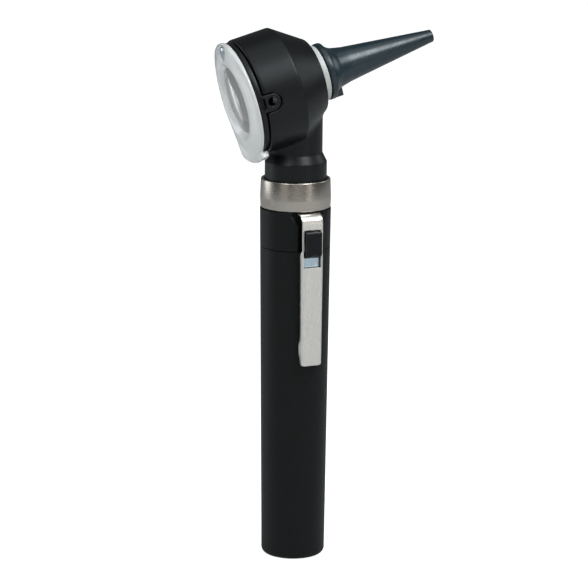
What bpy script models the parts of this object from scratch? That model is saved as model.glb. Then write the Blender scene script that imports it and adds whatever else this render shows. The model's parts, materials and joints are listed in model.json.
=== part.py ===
"""Otoscope: a two-cell battery handle with a pocket clip and a slide switch,
and a head with a swinging magnifier, a light guide and a reusable speculum.

Lengths in this script are millimetres; add_object turns them into metres.
Z runs up the handle from its flat foot, and X points the way the speculum looks.
"""
import math

import bmesh
import bpy
from mathutils import Matrix, Vector

MM = 0.001

# Facets around a round piece
FACETS = 56
FINE_FACETS = 32
WIRE_SIDES = 6

# Handle
FOOT_R = 9.93
HANDLE_TOP_R = 11.0
HANDLE_TOP_Z = 111.65
FOOT_FILLET = 1.7
FLOOR = 2.0
BORE_R = 8.1
SEAM_Z = 99.2
SEAM_GAP = 0.2
SPIGOT_Z = 91.2
SPIGOT_R = 8.9
SPIGOT_BORE_R = 8.0
SOCKET_R = 9.2
FIT_GAP = 0.3

# Battery cells, IEC LR6
CELL_R = 7.25
CELL_LENGTH = 50.4
CELL_NUB_R = 2.75
CELL_NUB = 1.1
CELL_BOTTOM_Z = 6.8

# Metal ring and the contacts inside it
RING_TOP_Z = 120.6
RING_CREASE_Z = 114.9
RING_BOTTOM_R = 10.85
RING_CREASE_R = 11.0
RING_TOP_R = 10.75
RING_BORE_R = 9.85
RING_FLOOR = 1.0
RING_HOLE_R = 5.0
PIN_STEM_R = 1.2
PIN_HEAD_R = 2.1
PIN_TOP_Z = 118.0
PIN_SHOULDER_Z = 113.2

# Pocket clip and switch, measured outwards from the handle's axis
CLIP_AZIMUTH = math.radians(-85.2)
CLIP_FACE = 13.0
CLIP_SHEET = 0.8
CLIP_TOP_Z = 111.2
CLIP_BOTTOM_Z = 63.6
CLIP_BEND_R = 3.0
CLIP_TAB_END = 9.2
CLIP_HALF_TOP = 3.5
CLIP_HALF_BOTTOM = 3.1
CLIP_FLANGE_OUT = 0.3
CLIP_FLANGE_TOP_Z = 99.6
CLIP_FLANGE_FOOT = 11.6
CLIP_HEEL = 11.15
NOTCH_HALF = 3.4
NOTCH_TOP_HALF = 5.2
NOTCH_FLARE_Z = (107.0, 110.3)
NOTCH_FLOOR = 8.9
WINDOW_HALF = 2.95
WINDOW_Z = (94.5, 106.3)
BUTTON_HALF = 2.7
BUTTON_FACE_HALF = 2.6
BUTTON_Z = (97.6, 106.0)
BUTTON_BACK = 12.0
BUTTON_FACE = 14.5
STUD_Z = 103.9
STUD_R = 1.0

# Head: the optical axis leans back by HEAD_TILT and crosses the handle's axis
HEAD_AXIS_Z = 150.66
HEAD_TILT = math.radians(15.35)
HEAD_REAR_S = -16.5
HEAD_REAR_R = 18.1
HEAD_RIDGE_S = -4.18
HEAD_RIDGE_R = 18.24
HEAD_FRONT_S = 5.6
HEAD_FRONT_R = 11.45
HEAD_WALL = 2.1
NECK_R = 8.2
NECK_BASE_R = 9.6
NECK_BASE_TOP_Z = 125.8
NECK_CONE_TOP_Z = 128.6
NECK_BOTTOM_Z = 113.7
NECK_PLUG_R = 8.6
NECK_PLUG_TOP_Z = 119.7
NECK_BORE_R = 6.0
NECK_HIDDEN_TOP_Z = 146.0

# Bezel, insufflation port and swinging magnifier
BEZEL_R = 17.6
BEZEL_S = (-18.4, -16.85)
BEZEL_WINDOW_R = 12.6
BEZEL_SPIGOT_R = 15.7
BEZEL_SPIGOT_S = -12.2
PORT_S = -14.15
PORT_V = 0.6
PORT_LUG_R = 2.65
PORT_HOLE_R = 1.3
PORT_FACE = 17.95
PLATE_S = (-21.1, -18.7)
PLATE_NEAR_R = 17.75
PLATE_UP_R = 18.1
CROWN_STRETCH = 1.14
LENS_R = 10.3
LENS_BORE_R = 10.55
LENS_BEVEL_R = 12.0
LENS_CROWN = 1.5
PIVOT_V = 15.4
PIVOT_SHAFT_R = 0.8
PIVOT_HEAD_R = 2.0

# Speculum and its seat
SEAT_R = 8.75
SEAT_RIM_R = 9.3
SEAT_S = (5.9, 8.0)
SEAT_SPIGOT_R = 6.5
NOSE_TIP_S = 22.0
NOSE_TIP_R = 3.45
NOSE_ROOT_R = 4.9
SPECULUM_S = (8.3, 46.0)
SPECULUM_FLANGE_R = 8.95
SPECULUM_CONE_S = 15.0
SPECULUM_CONE_R = 5.72
SPECULUM_TIP_R = 1.92
SPECULUM_WALL = 0.8

# Colour, roughness and metallic value of each material
FINISHES = {
    "handle_plastic": ((0.012, 0.013, 0.014), 0.55, 0.0),
    "head_plastic": ((0.011, 0.012, 0.014), 0.45, 0.0),
    "bezel_plastic": ((0.009, 0.010, 0.012), 0.4, 0.0),
    "button_plastic": ((0.010, 0.010, 0.016), 0.3, 0.0),
    "carrier_plastic": ((0.03, 0.03, 0.03), 0.5, 0.0),
    "ring_nickel": ((0.36, 0.34, 0.31), 0.35, 1.0),
    "clip_steel": ((0.62, 0.60, 0.57), 0.3, 1.0),
    "switch_steel": ((0.55, 0.62, 0.68), 0.25, 1.0),
    "spring_steel": ((0.5, 0.5, 0.5), 0.3, 1.0),
    "contact_brass": ((0.62, 0.46, 0.2), 0.35, 1.0),
    "sleeve_nickel": ((0.55, 0.53, 0.48), 0.3, 1.0),
    "cell_steel": ((0.25, 0.26, 0.28), 0.3, 0.8),
    "seal_rubber": ((0.015, 0.015, 0.015), 0.7, 0.0),
    "lens_acrylic": ((0.85, 0.88, 0.9), 0.05, 0.0),
    "lamp_glass": ((0.9, 0.9, 0.88), 0.03, 0.0),
    "fibre_guide": ((0.8, 0.82, 0.84), 0.2, 0.0),
    "seat_plastic": ((0.45, 0.46, 0.45), 0.4, 0.0),
    "speculum_plastic": ((0.02, 0.045, 0.06), 0.22, 0.0),
}


# ---------------------------------------------------------------- helpers

def clear_scene():
    for item in list(bpy.data.objects):
        bpy.data.objects.remove(item, do_unlink=True)


def make_material(name):
    """One Principled material from the table of finishes."""
    colour, roughness, metallic = FINISHES[name]
    made = bpy.data.materials.new(name)
    made.use_nodes = True
    made.diffuse_color = (*colour, 1.0)
    shader = made.node_tree.nodes["Principled BSDF"]
    shader.inputs["Base Color"].default_value = (*colour, 1.0)
    shader.inputs["Roughness"].default_value = roughness
    shader.inputs["Metallic"].default_value = metallic
    return made


def add_frame(name, matrix):
    """An empty that carries the pieces drawn in its own axes."""
    empty = bpy.data.objects.new(name, None)
    empty.matrix_world = matrix
    bpy.context.scene.collection.objects.link(empty)
    return empty


def add_object(name, bm, frame, pivot=(0.0, 0.0, 0.0)):
    """Turn a bmesh in millimetres into an object with its origin at pivot."""
    bmesh.ops.remove_doubles(bm, verts=bm.verts, dist=0.0005)
    bmesh.ops.recalc_face_normals(bm, faces=bm.faces)
    if bm.calc_volume(signed=True) < 0.0:
        bmesh.ops.reverse_faces(bm, faces=bm.faces)
    bmesh.ops.translate(bm, verts=bm.verts, vec=-Vector(pivot))
    bmesh.ops.scale(bm, verts=bm.verts, vec=(MM, MM, MM))
    mesh = bpy.data.meshes.new(name)
    bm.to_mesh(mesh)
    bm.free()
    made = bpy.data.objects.new(name, mesh)
    made.parent = frame
    made.location = Vector(pivot) * MM
    bpy.context.scene.collection.objects.link(made)
    return made


def piece(name, finish, bm, frame, pivot=(0.0, 0.0, 0.0)):
    """A finished sub-part: one object, one material, smooth where it is round."""
    made = add_object(name, bm, frame, pivot)
    made.data.materials.append(make_material(finish))
    made.data.materials[0].name = name + "_" + finish
    smooth(made)
    return made


def smooth(made):
    made.data.shade_smooth()
    made.data.set_sharp_from_angle(angle=math.radians(32.0))


def combine(target, operation, bm, frame):
    """Apply one exact Boolean of a bmesh, drawn in frame's axes, to target."""
    tool = add_object("tool", bm, frame)
    modifier = target.modifiers.new("combine", "BOOLEAN")
    modifier.operation = operation
    modifier.solver = "EXACT"
    modifier.object = tool
    bpy.context.view_layer.update()
    depsgraph = bpy.context.evaluated_depsgraph_get()
    baked = bpy.data.meshes.new_from_object(target.evaluated_get(depsgraph))
    target.modifiers.clear()
    target.data = baked
    bpy.data.objects.remove(tool, do_unlink=True)
    smooth(target)


def arc(centre, radius, start, end, steps):
    """Points on a circular arc, angles in degrees."""
    points = []
    for step in range(steps + 1):
        angle = math.radians(start + (end - start) * step / steps)
        points.append((centre[0] + radius * math.cos(angle),
                       centre[1] + radius * math.sin(angle)))
    return points


def lathe(profile, facets=FACETS):
    """Turn a profile of (radius, height) points about local Z.

    A profile that starts and ends on the axis gives a solid, and any other
    profile is closed into a ring.
    """
    bm = bmesh.new()
    verts = [bm.verts.new((radius, 0.0, height)) for radius, height in profile]
    edges = [bm.edges.new(pair) for pair in zip(verts, verts[1:])]
    if profile[0][0] > 0.0 or profile[-1][0] > 0.0:
        edges.append(bm.edges.new((verts[-1], verts[0])))
    bmesh.ops.spin(bm, geom=verts + edges, cent=(0.0, 0.0, 0.0), axis=(0.0, 0.0, 1.0),
                   angle=math.tau, steps=facets, use_merge=True)
    bmesh.ops.remove_doubles(bm, verts=bm.verts, dist=0.0005)
    return bm


def rod(radius, low, high, facets=FINE_FACETS):
    return lathe([(0.0, low), (radius, low), (radius, high), (0.0, high)], facets)


def washer(inner, outer, low, high, facets=FACETS):
    return lathe([(inner, low), (outer, low), (outer, high), (inner, high)], facets)


def prism(outline, axis, low, high):
    """Extrude a flat outline from low to high along the axis numbered 0, 1 or 2."""
    bm = bmesh.new()

    def corner(point, level):
        place = list(point)
        place.insert(axis, level)
        return bm.verts.new(place)

    near = [corner(point, low) for point in outline]
    far = [corner(point, high) for point in outline]
    bm.faces.new(near)
    bm.faces.new(far)
    for index in range(len(outline)):
        after = (index + 1) % len(outline)
        bm.faces.new((near[index], near[after], far[after], far[index]))
    return bm


def block(low, high):
    """A box between two corners."""
    outline = [(low[0], low[1]), (high[0], low[1]), (high[0], high[1]), (low[0], high[1])]
    return prism(outline, 2, low[2], high[2])


def hull(points):
    """The convex solid around a few points."""
    bm = bmesh.new()
    verts = [bm.verts.new(point) for point in points]
    bmesh.ops.convex_hull(bm, input=verts)
    return bm


def turned(bm, matrix):
    bmesh.ops.transform(bm, matrix=matrix, verts=bm.verts)
    return bm


def radial_rod(radius, low, high, across, height, facets=FINE_FACETS):
    """A rod along local X between two distances from the axis."""
    turn = Matrix.Rotation(math.radians(90.0), 4, "Y")
    return turned(rod(radius, low, high, facets), Matrix.Translation((0.0, across, height)) @ turn)


def near_rod(radius, low, high, up, along, facets=FINE_FACETS):
    """A rod along local Y, for the port on the side of the head."""
    turn = Matrix.Rotation(math.radians(-90.0), 4, "X")
    return turned(rod(radius, low, high, facets), Matrix.Translation((up, 0.0, along)) @ turn)


def sweep(path, radius, sides):
    """A round bar along a path, with flat ends."""
    bm = bmesh.new()
    rings = []
    side = Vector((0.0, 1.0, 0.0))
    for index, point in enumerate(path):
        ahead = Vector(path[min(index + 1, len(path) - 1)])
        behind = Vector(path[max(index - 1, 0)])
        along = (ahead - behind).normalized()
        side = (side - along * side.dot(along)).normalized()
        other = along.cross(side)
        ring = []
        for step in range(sides):
            angle = math.tau * step / sides
            offset = side * math.cos(angle) + other * math.sin(angle)
            ring.append(bm.verts.new(Vector(point) + offset * radius))
        rings.append(ring)
    for before, after in zip(rings, rings[1:]):
        for step in range(sides):
            following = (step + 1) % sides
            bm.faces.new((before[step], before[following], after[following], after[step]))
    bm.faces.new(rings[0])
    bm.faces.new(rings[-1])
    return bm


def coil(radius, wire_r, low, high, turns, steps_per_turn=14):
    """A coil spring between two heights, with its last turn at each end closed up."""
    path = []
    total = int(turns * steps_per_turn)
    floor, top = low + wire_r, high - wire_r
    for step in range(total + 1):
        share = step / total
        eased = share - 0.6 / turns * math.sin(math.tau * share) / math.tau
        angle = math.tau * turns * share
        height = floor + (top - floor) * eased
        path.append((radius * math.cos(angle), radius * math.sin(angle), height))
    return sweep(path, wire_r, WIRE_SIDES)


def tube_radius(height):
    """The handle's outside, which widens evenly from its foot to the metal ring."""
    return FOOT_R + (HANDLE_TOP_R - FOOT_R) * height / HANDLE_TOP_Z


# ---------------------------------------------------------------- battery handle

def battery_tube(handle):
    top = SEAM_Z - SEAM_GAP / 2
    fillet_centre = (tube_radius(FOOT_FILLET) - FOOT_FILLET, FOOT_FILLET)
    profile = [(0.0, 0.0)]
    profile += arc(fillet_centre, FOOT_FILLET, -90.0, 0.0, 5)
    profile += [(tube_radius(top), top), (SOCKET_R, top), (SOCKET_R, SPIGOT_Z - 0.5),
                (BORE_R, SPIGOT_Z - 0.9), (BORE_R, FLOOR), (0.0, FLOOR)]
    piece("battery_tube", "handle_plastic", lathe(profile), handle)


def battery_cells(handle):
    shoulder = CELL_LENGTH - CELL_NUB
    for index, name in enumerate(("battery_cell_lower", "battery_cell_upper")):
        base = CELL_BOTTOM_Z + index * (CELL_LENGTH + FIT_GAP)
        profile = [(0.0, base), (CELL_R - 0.4, base), (CELL_R, base + 0.4),
                   (CELL_R, base + shoulder - 0.4), (CELL_R - 0.4, base + shoulder),
                   (CELL_NUB_R, base + shoulder), (CELL_NUB_R, base + CELL_LENGTH),
                   (0.0, base + CELL_LENGTH)]
        piece(name, "cell_steel", lathe(profile, FINE_FACETS), handle)


def base_contacts(handle):
    plate_top = FLOOR + FIT_GAP + 0.4
    piece("base_contact_plate", "contact_brass",
          rod(6.6, FLOOR + FIT_GAP, plate_top), handle)
    piece("base_contact_spring", "spring_steel",
          coil(4.6, 0.4, plate_top + 0.15, CELL_BOTTOM_Z - 0.15, 3.5, 18), handle)
    piece("return_strip", "contact_brass",
          block((7.5, -1.5, FLOOR + 0.8), (7.75, 1.5, SPIGOT_Z - 1.6)), handle)


def collar_shell(handle, clip_side):
    """The upper shell: a spigot inside the battery tube and a notch around the clip."""
    low, high = SEAM_Z + SEAM_GAP / 2, HANDLE_TOP_Z - FIT_GAP
    profile = [(SPIGOT_BORE_R, SPIGOT_Z), (SPIGOT_R, SPIGOT_Z), (SPIGOT_R, low),
               (tube_radius(low), low), (tube_radius(high), high), (SPIGOT_BORE_R, high)]
    shell = piece("collar_shell", "handle_plastic", lathe(profile), handle)
    flare_low, flare_high = NOTCH_FLARE_Z
    right = [(NOTCH_HALF, low - 1.0), (NOTCH_HALF, flare_low), (NOTCH_TOP_HALF, flare_high),
             (NOTCH_TOP_HALF, high + 1.0)]
    left = [(-across, height) for across, height in reversed(right)]
    combine(shell, "DIFFERENCE", prism(right + left, 0, NOTCH_FLOOR, 14.0), clip_side)
    # A sloping face eases the notch's upper corners beside the clip's bend.
    half, foot = 6.4, flare_low - 0.3
    slope = [(9.05, flare_high), (9.05, high + 1.0), (14.0, high + 1.0), (14.0, foot),
             (10.45, foot)]
    combine(shell, "DIFFERENCE", prism(slope, 1, -half, half), clip_side)


def handle_ring(handle):
    low, floor_top = HANDLE_TOP_Z, HANDLE_TOP_Z + RING_FLOOR
    lip = 0.4
    lip_centre = (RING_TOP_R - lip, RING_TOP_Z - lip)
    profile = [(RING_HOLE_R, low), (RING_BOTTOM_R - 0.25, low), (RING_BOTTOM_R, low + 0.25),
               (RING_CREASE_R, RING_CREASE_Z)]
    profile += arc(lip_centre, lip, 0.0, 90.0, 4)
    profile += [(RING_BORE_R + 0.15, RING_TOP_Z), (RING_BORE_R, RING_TOP_Z - 0.2),
                (RING_BORE_R, floor_top), (RING_HOLE_R, floor_top)]
    piece("handle_ring", "ring_nickel", lathe(profile), handle)


def top_contacts(handle):
    """The insulating carrier, its sprung centre pin and the plate above the cells."""
    plate_low = CELL_BOTTOM_Z + 2 * CELL_LENGTH + 2 * FIT_GAP
    plate_top = plate_low + 0.35
    base, shoulder = plate_top + FIT_GAP, HANDLE_TOP_Z - FIT_GAP
    boss_top, boss_r, pocket_r = PIN_TOP_Z - 2.4, RING_HOLE_R - 0.5, PIN_HEAD_R + 0.4
    ceiling = PIN_SHOULDER_Z + 1.2
    profile = [(pocket_r, base), (SPIGOT_BORE_R - FIT_GAP, base),
               (SPIGOT_BORE_R - FIT_GAP, shoulder), (boss_r, shoulder), (boss_r, boss_top),
               (PIN_STEM_R + 0.3, boss_top), (PIN_STEM_R + 0.3, ceiling), (pocket_r, ceiling)]
    piece("contact_carrier", "carrier_plastic", lathe(profile, FINE_FACETS), handle)
    piece("upper_contact_plate", "contact_brass", rod(6.0, plate_low, plate_top), handle)
    crown = 0.5
    pin = [(0.0, PIN_SHOULDER_Z), (PIN_HEAD_R, PIN_SHOULDER_Z),
           (PIN_HEAD_R, PIN_SHOULDER_Z + 0.9), (PIN_STEM_R, PIN_SHOULDER_Z + 0.9),
           (PIN_STEM_R, PIN_TOP_Z - crown), (PIN_STEM_R - crown, PIN_TOP_Z), (0.0, PIN_TOP_Z)]
    piece("centre_contact_pin", "contact_brass", lathe(pin, 20), handle,
          (0.0, 0.0, PIN_SHOULDER_Z))
    piece("contact_pin_spring", "spring_steel",
          coil(1.75, 0.22, plate_top + 0.15, PIN_SHOULDER_Z - 0.1, 4.5, 12), handle)


# ---------------------------------------------------------------- clip and switch

def clip_half(height):
    """Half the clip's width, which narrows evenly towards its free end."""
    share = (height - CLIP_BOTTOM_Z) / (CLIP_TOP_Z - CLIP_BOTTOM_Z)
    return CLIP_HALF_BOTTOM + (CLIP_HALF_TOP - CLIP_HALF_BOTTOM) * min(max(share, 0.0), 1.0)


def clip_strip():
    """The clip's face: a bent strip from the tab under the ring to the free end."""
    bend = (CLIP_FACE - CLIP_BEND_R, CLIP_TOP_Z - CLIP_BEND_R)
    outer = [(CLIP_TAB_END, CLIP_TOP_Z)] + arc(bend, CLIP_BEND_R, 90.0, 0.0, 7)
    inner = [(CLIP_TAB_END, CLIP_TOP_Z - CLIP_SHEET)]
    inner += arc(bend, CLIP_BEND_R - CLIP_SHEET, 90.0, 0.0, 7)
    outer.append((CLIP_FACE, CLIP_BOTTOM_Z))
    inner.append((CLIP_FACE - CLIP_SHEET, CLIP_BOTTOM_Z))
    bm = bmesh.new()
    grid = []
    for (out_x, out_z), (in_x, in_z) in zip(outer, inner):
        half = clip_half(out_z)
        grid.append([bm.verts.new((out_x, -half, out_z)), bm.verts.new((out_x, half, out_z)),
                     bm.verts.new((in_x, half, in_z)), bm.verts.new((in_x, -half, in_z))])
    for before, after in zip(grid, grid[1:]):
        for step in range(4):
            following = (step + 1) % 4
            bm.faces.new((before[step], before[following], after[following], after[step]))
    bm.faces.new(grid[0])
    bm.faces.new(grid[-1])
    return bm


def clip_flange(side):
    """One folded edge of the clip, deeper at the heel that grips the pocket."""
    outline = [(CLIP_FACE - 0.4, CLIP_FLANGE_TOP_Z), (CLIP_FACE - 0.9, CLIP_FLANGE_TOP_Z),
               (CLIP_FLANGE_FOOT, CLIP_FLANGE_TOP_Z - 0.8), (CLIP_FLANGE_FOOT, 72.6),
               (CLIP_HEEL, 70.2), (CLIP_HEEL, 67.2), (CLIP_FLANGE_FOOT + 0.2, 64.4),
               (CLIP_FACE - 0.4, CLIP_BOTTOM_Z)]
    bm = bmesh.new()
    rows = []
    for depth in (0.0, CLIP_SHEET):
        row = []
        for distance, height in outline:
            across = side * (clip_half(height) + CLIP_FLANGE_OUT - depth)
            row.append(bm.verts.new((distance, across, height)))
        rows.append(row)
    near, far = rows
    for index in range(len(outline)):
        after = (index + 1) % len(outline)
        bm.faces.new((near[index], near[after], far[after], far[index]))
    bm.faces.new(near)
    bm.faces.new(far)
    bmesh.ops.triangulate(bm, faces=bm.faces)
    return bm


def pocket_clip(clip_side):
    pivot = (CLIP_FACE - CLIP_BEND_R, 0.0, CLIP_TOP_Z - CLIP_BEND_R / 2)
    clip = piece("pocket_clip", "clip_steel", clip_strip(), clip_side, pivot)
    for side in (-1.0, 1.0):
        combine(clip, "UNION", clip_flange(side), clip_side)
    combine(clip, "DIFFERENCE",
            block((8.0, -WINDOW_HALF, WINDOW_Z[0]), (15.0, WINDOW_HALF, WINDOW_Z[1])), clip_side)


def switch_parts(clip_side):
    """The thumb button, the plate that slides with it and the contacts behind them."""
    middle = 0.5 * (BUTTON_Z[0] + BUTTON_Z[1])
    low, high = BUTTON_Z
    shoulder = CLIP_FACE + 0.1
    points = []
    for side in (-1.0, 1.0):
        points += [(BUTTON_BACK, side * BUTTON_HALF, low), (BUTTON_BACK, side * BUTTON_HALF, high),
                   (shoulder, side * BUTTON_HALF, low), (shoulder, side * BUTTON_HALF, high),
                   (BUTTON_FACE, side * BUTTON_FACE_HALF, low + 1.0),
                   (BUTTON_FACE, side * BUTTON_FACE_HALF, high - 0.35)]
    button = piece("switch_button", "button_plastic", hull(points), clip_side,
                   (BUTTON_BACK, 0.0, middle))
    combine(button, "UNION",
            radial_rod(STUD_R, 9.65, BUTTON_BACK + 0.5, 0.0, STUD_Z, 16), clip_side)
    plate = piece("switch_plate", "switch_steel",
                  block((11.15, -2.75, 92.9), (11.7, 2.75, 106.4)), clip_side,
                  (11.4, 0.0, middle))
    combine(plate, "DIFFERENCE",
            radial_rod(STUD_R + 0.3, 10.0, 13.0, 0.0, STUD_Z, 16), clip_side)
    bridge = piece("switch_contact_bridge", "contact_brass",
                   block((10.25, -2.4, 102.3), (10.6, 2.4, 106.2)), clip_side,
                   (10.4, 0.0, STUD_Z))
    combine(bridge, "DIFFERENCE",
            radial_rod(STUD_R + 0.3, 9.0, 12.0, 0.0, STUD_Z, 16), clip_side)
    piece("fixed_contact", "contact_brass",
          block((NOTCH_FLOOR + 0.2, -1.6, 99.8), (NOTCH_FLOOR + 0.45, 1.6, 108.6)), clip_side)
    leaf = [(9.15, 100.0), (9.4, 100.0), (9.9, 103.2), (9.9, 104.6), (9.4, 107.8),
            (9.15, 107.8), (9.65, 104.6), (9.65, 103.2)]
    piece("switch_detent_spring", "spring_steel", prism(leaf, 1, 2.0, 3.0), clip_side)


# ---------------------------------------------------------------- coupling and lamp

def coupling_parts(handle):
    piece("coupling_sleeve", "sleeve_nickel",
          washer(NECK_PLUG_R + 0.25, RING_BORE_R - 0.25, HANDLE_TOP_Z + RING_FLOOR + FIT_GAP,
                 NECK_PLUG_TOP_Z - FIT_GAP), handle)
    seal_section = arc((8.2, 116.5), 0.45, 0.0, 315.0, 7)
    piece("neck_o_ring", "seal_rubber", lathe(seal_section), handle, (0.0, 0.0, 116.5))
    piece("neck_contact_sleeve", "sleeve_nickel",
          washer(5.0, NECK_BORE_R - FIT_GAP, NECK_BOTTOM_Z + FIT_GAP, 126.0, FINE_FACETS), handle)
    piece("lamp_socket", "carrier_plastic",
          washer(3.2, 4.7, 119.4, 124.6, FINE_FACETS), handle)


def lamp_parts(handle):
    """A plug-in lamp: contact bead, brass cap and lens-ended bulb."""
    piece("lamp_contact", "spring_steel",
          lathe([(0.0, 118.3), (0.7, 118.4), (1.1, 118.9), (0.0, 118.9)], 20), handle)
    cap = [(0.0, 119.2), (1.8, 119.2), (2.9, 120.0), (2.9, 124.8), (2.5, 125.4), (0.0, 125.4)]
    piece("lamp_cap", "contact_brass", lathe(cap, 24), handle)
    dome = arc((0.0, 131.6), 2.2, 0.0, 90.0, 5)
    bulb = [(0.0, 125.7), (1.7, 125.7), (2.2, 127.0)] + dome[:-1] + [(0.0, dome[-1][1])]
    piece("lamp_bulb", "lamp_glass", lathe(bulb, 24), handle)


# ---------------------------------------------------------------- head

def trimmed(bm, optical_matrix, along):
    """Cut a world-frame shape with a plane square to the optical axis."""
    point = optical_matrix @ Vector((0.0, 0.0, along))
    normal = optical_matrix.to_3x3() @ Vector((0.0, 0.0, 1.0))
    cut = bmesh.ops.bisect_plane(bm, geom=bm.verts[:] + bm.edges[:] + bm.faces[:],
                                 dist=0.0001, plane_co=point, plane_no=normal,
                                 clear_outer=True)
    rim = [item for item in cut["geom_cut"] if isinstance(item, bmesh.types.BMEdge)]
    bmesh.ops.contextual_create(bm, geom=rim)
    return bm


def head_housing(handle, optical, optical_matrix):
    rounding = 0.6
    rear = (HEAD_REAR_R - rounding, HEAD_REAR_S + rounding)
    outside = [(0.0, HEAD_REAR_S)] + arc(rear, rounding, -90.0, 0.0, 4)
    outside += [(HEAD_RIDGE_R, HEAD_RIDGE_S), (HEAD_FRONT_R, HEAD_FRONT_S - 0.25),
                (HEAD_FRONT_R - 0.5, HEAD_FRONT_S), (0.0, HEAD_FRONT_S)]
    neck = [(0.0, NECK_BOTTOM_Z), (NECK_PLUG_R - 0.3, NECK_BOTTOM_Z),
            (NECK_PLUG_R, NECK_BOTTOM_Z + 0.3), (NECK_PLUG_R, 115.8), (NECK_PLUG_R - 1.1, 115.8),
            (NECK_PLUG_R - 1.1, 117.2), (NECK_PLUG_R, 117.2), (NECK_PLUG_R, NECK_PLUG_TOP_Z),
            (NECK_BASE_R, NECK_PLUG_TOP_Z), (NECK_BASE_R, NECK_BASE_TOP_Z),
            (NECK_R, NECK_CONE_TOP_Z), (NECK_R, NECK_HIDDEN_TOP_Z), (0.0, NECK_HIDDEN_TOP_Z)]
    housing = piece("head_housing", "head_plastic",
                    trimmed(lathe(neck), optical_matrix, HEAD_FRONT_S - 0.25), handle,
                    (0.0, 0.0, NECK_BOTTOM_Z))
    combine(housing, "UNION", lathe(outside), optical)

    slope = (HEAD_RIDGE_R - HEAD_FRONT_R) / (HEAD_FRONT_S - HEAD_RIDGE_S)
    bore_r = HEAD_REAR_R - HEAD_WALL
    front_s = HEAD_FRONT_S - HEAD_WALL
    set_in = HEAD_WALL * math.hypot(1.0, slope)
    front_r = HEAD_FRONT_R + slope * HEAD_WALL - set_in
    cone_s = front_s - (bore_r - front_r) / slope
    hollow = [(0.0, HEAD_REAR_S - 1.0), (bore_r, HEAD_REAR_S - 1.0), (bore_r, cone_s),
              (front_r, front_s), (0.0, front_s)]
    combine(housing, "DIFFERENCE", lathe(hollow), optical)
    combine(housing, "DIFFERENCE",
            trimmed(rod(NECK_BORE_R, NECK_BOTTOM_Z - 1.0, NECK_HIDDEN_TOP_Z), optical_matrix,
                    front_s), handle)
    combine(housing, "DIFFERENCE",
            rod(SEAT_SPIGOT_R + FIT_GAP, front_s - 2.0, HEAD_FRONT_S + 2.0), optical)
    # A D-shaped notch in the rear rim takes the port's lug.
    notch_r = PORT_LUG_R + FIT_GAP
    combine(housing, "DIFFERENCE", near_rod(notch_r, 10.0, 20.0, PORT_V, PORT_S), optical)
    combine(housing, "DIFFERENCE",
            block((PORT_V - notch_r, 10.0, HEAD_REAR_S - 1.0), (PORT_V + notch_r, 20.0, PORT_S)),
            optical)


def lens_bezel(optical):
    """The ring that closes the back of the head, with the insufflation port on its side."""
    rear, shoulder = BEZEL_S
    inner = BEZEL_WINDOW_R
    seal = (12.95, 14.05)
    profile = [(inner, rear), (seal[0], rear), (seal[0], rear + 0.8), (seal[1], rear + 0.8),
               (seal[1], rear), (BEZEL_R - 0.35, rear), (BEZEL_R, rear + 0.35),
               (BEZEL_R, shoulder), (BEZEL_SPIGOT_R, shoulder), (BEZEL_SPIGOT_R, BEZEL_SPIGOT_S),
               (BEZEL_SPIGOT_R - 1.6, BEZEL_SPIGOT_S), (BEZEL_SPIGOT_R - 1.6, shoulder),
               (inner, shoulder)]
    bezel = piece("lens_bezel", "bezel_plastic", lathe(profile), optical)
    combine(bezel, "UNION", near_rod(PORT_LUG_R, 15.2, PORT_FACE, PORT_V, PORT_S), optical)
    combine(bezel, "UNION",
            block((PORT_V - PORT_LUG_R, 15.2, shoulder - 0.5),
                  (PORT_V + PORT_LUG_R, PORT_FACE, PORT_S)), optical)
    combine(bezel, "DIFFERENCE",
            near_rod(PORT_HOLE_R, 10.0, 20.0, PORT_V + 0.2, PORT_S, 20), optical)
    combine(bezel, "DIFFERENCE",
            block((PORT_V - 1.5, 16.4, shoulder - 0.9), (PORT_V + 1.8, 20.0, shoulder + 0.4)),
            optical)
    combine(bezel, "DIFFERENCE",
            turned(rod(PIVOT_SHAFT_R + 0.25, rear - 1.0, shoulder - 0.3, 16),
                   Matrix.Translation((PIVOT_V, 0.0, 0.0))), optical)
    piece("window_gasket", "seal_rubber",
          washer(seal[0] + 0.25, seal[1] - 0.25, rear - 0.12, rear + 0.6), optical)


def rim_point(angle, radius, along):
    """A point on the plate's rim, by its angle in degrees from straight down."""
    turn = math.radians(angle)
    return (-radius * math.cos(turn), radius * math.sin(turn), along)


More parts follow.
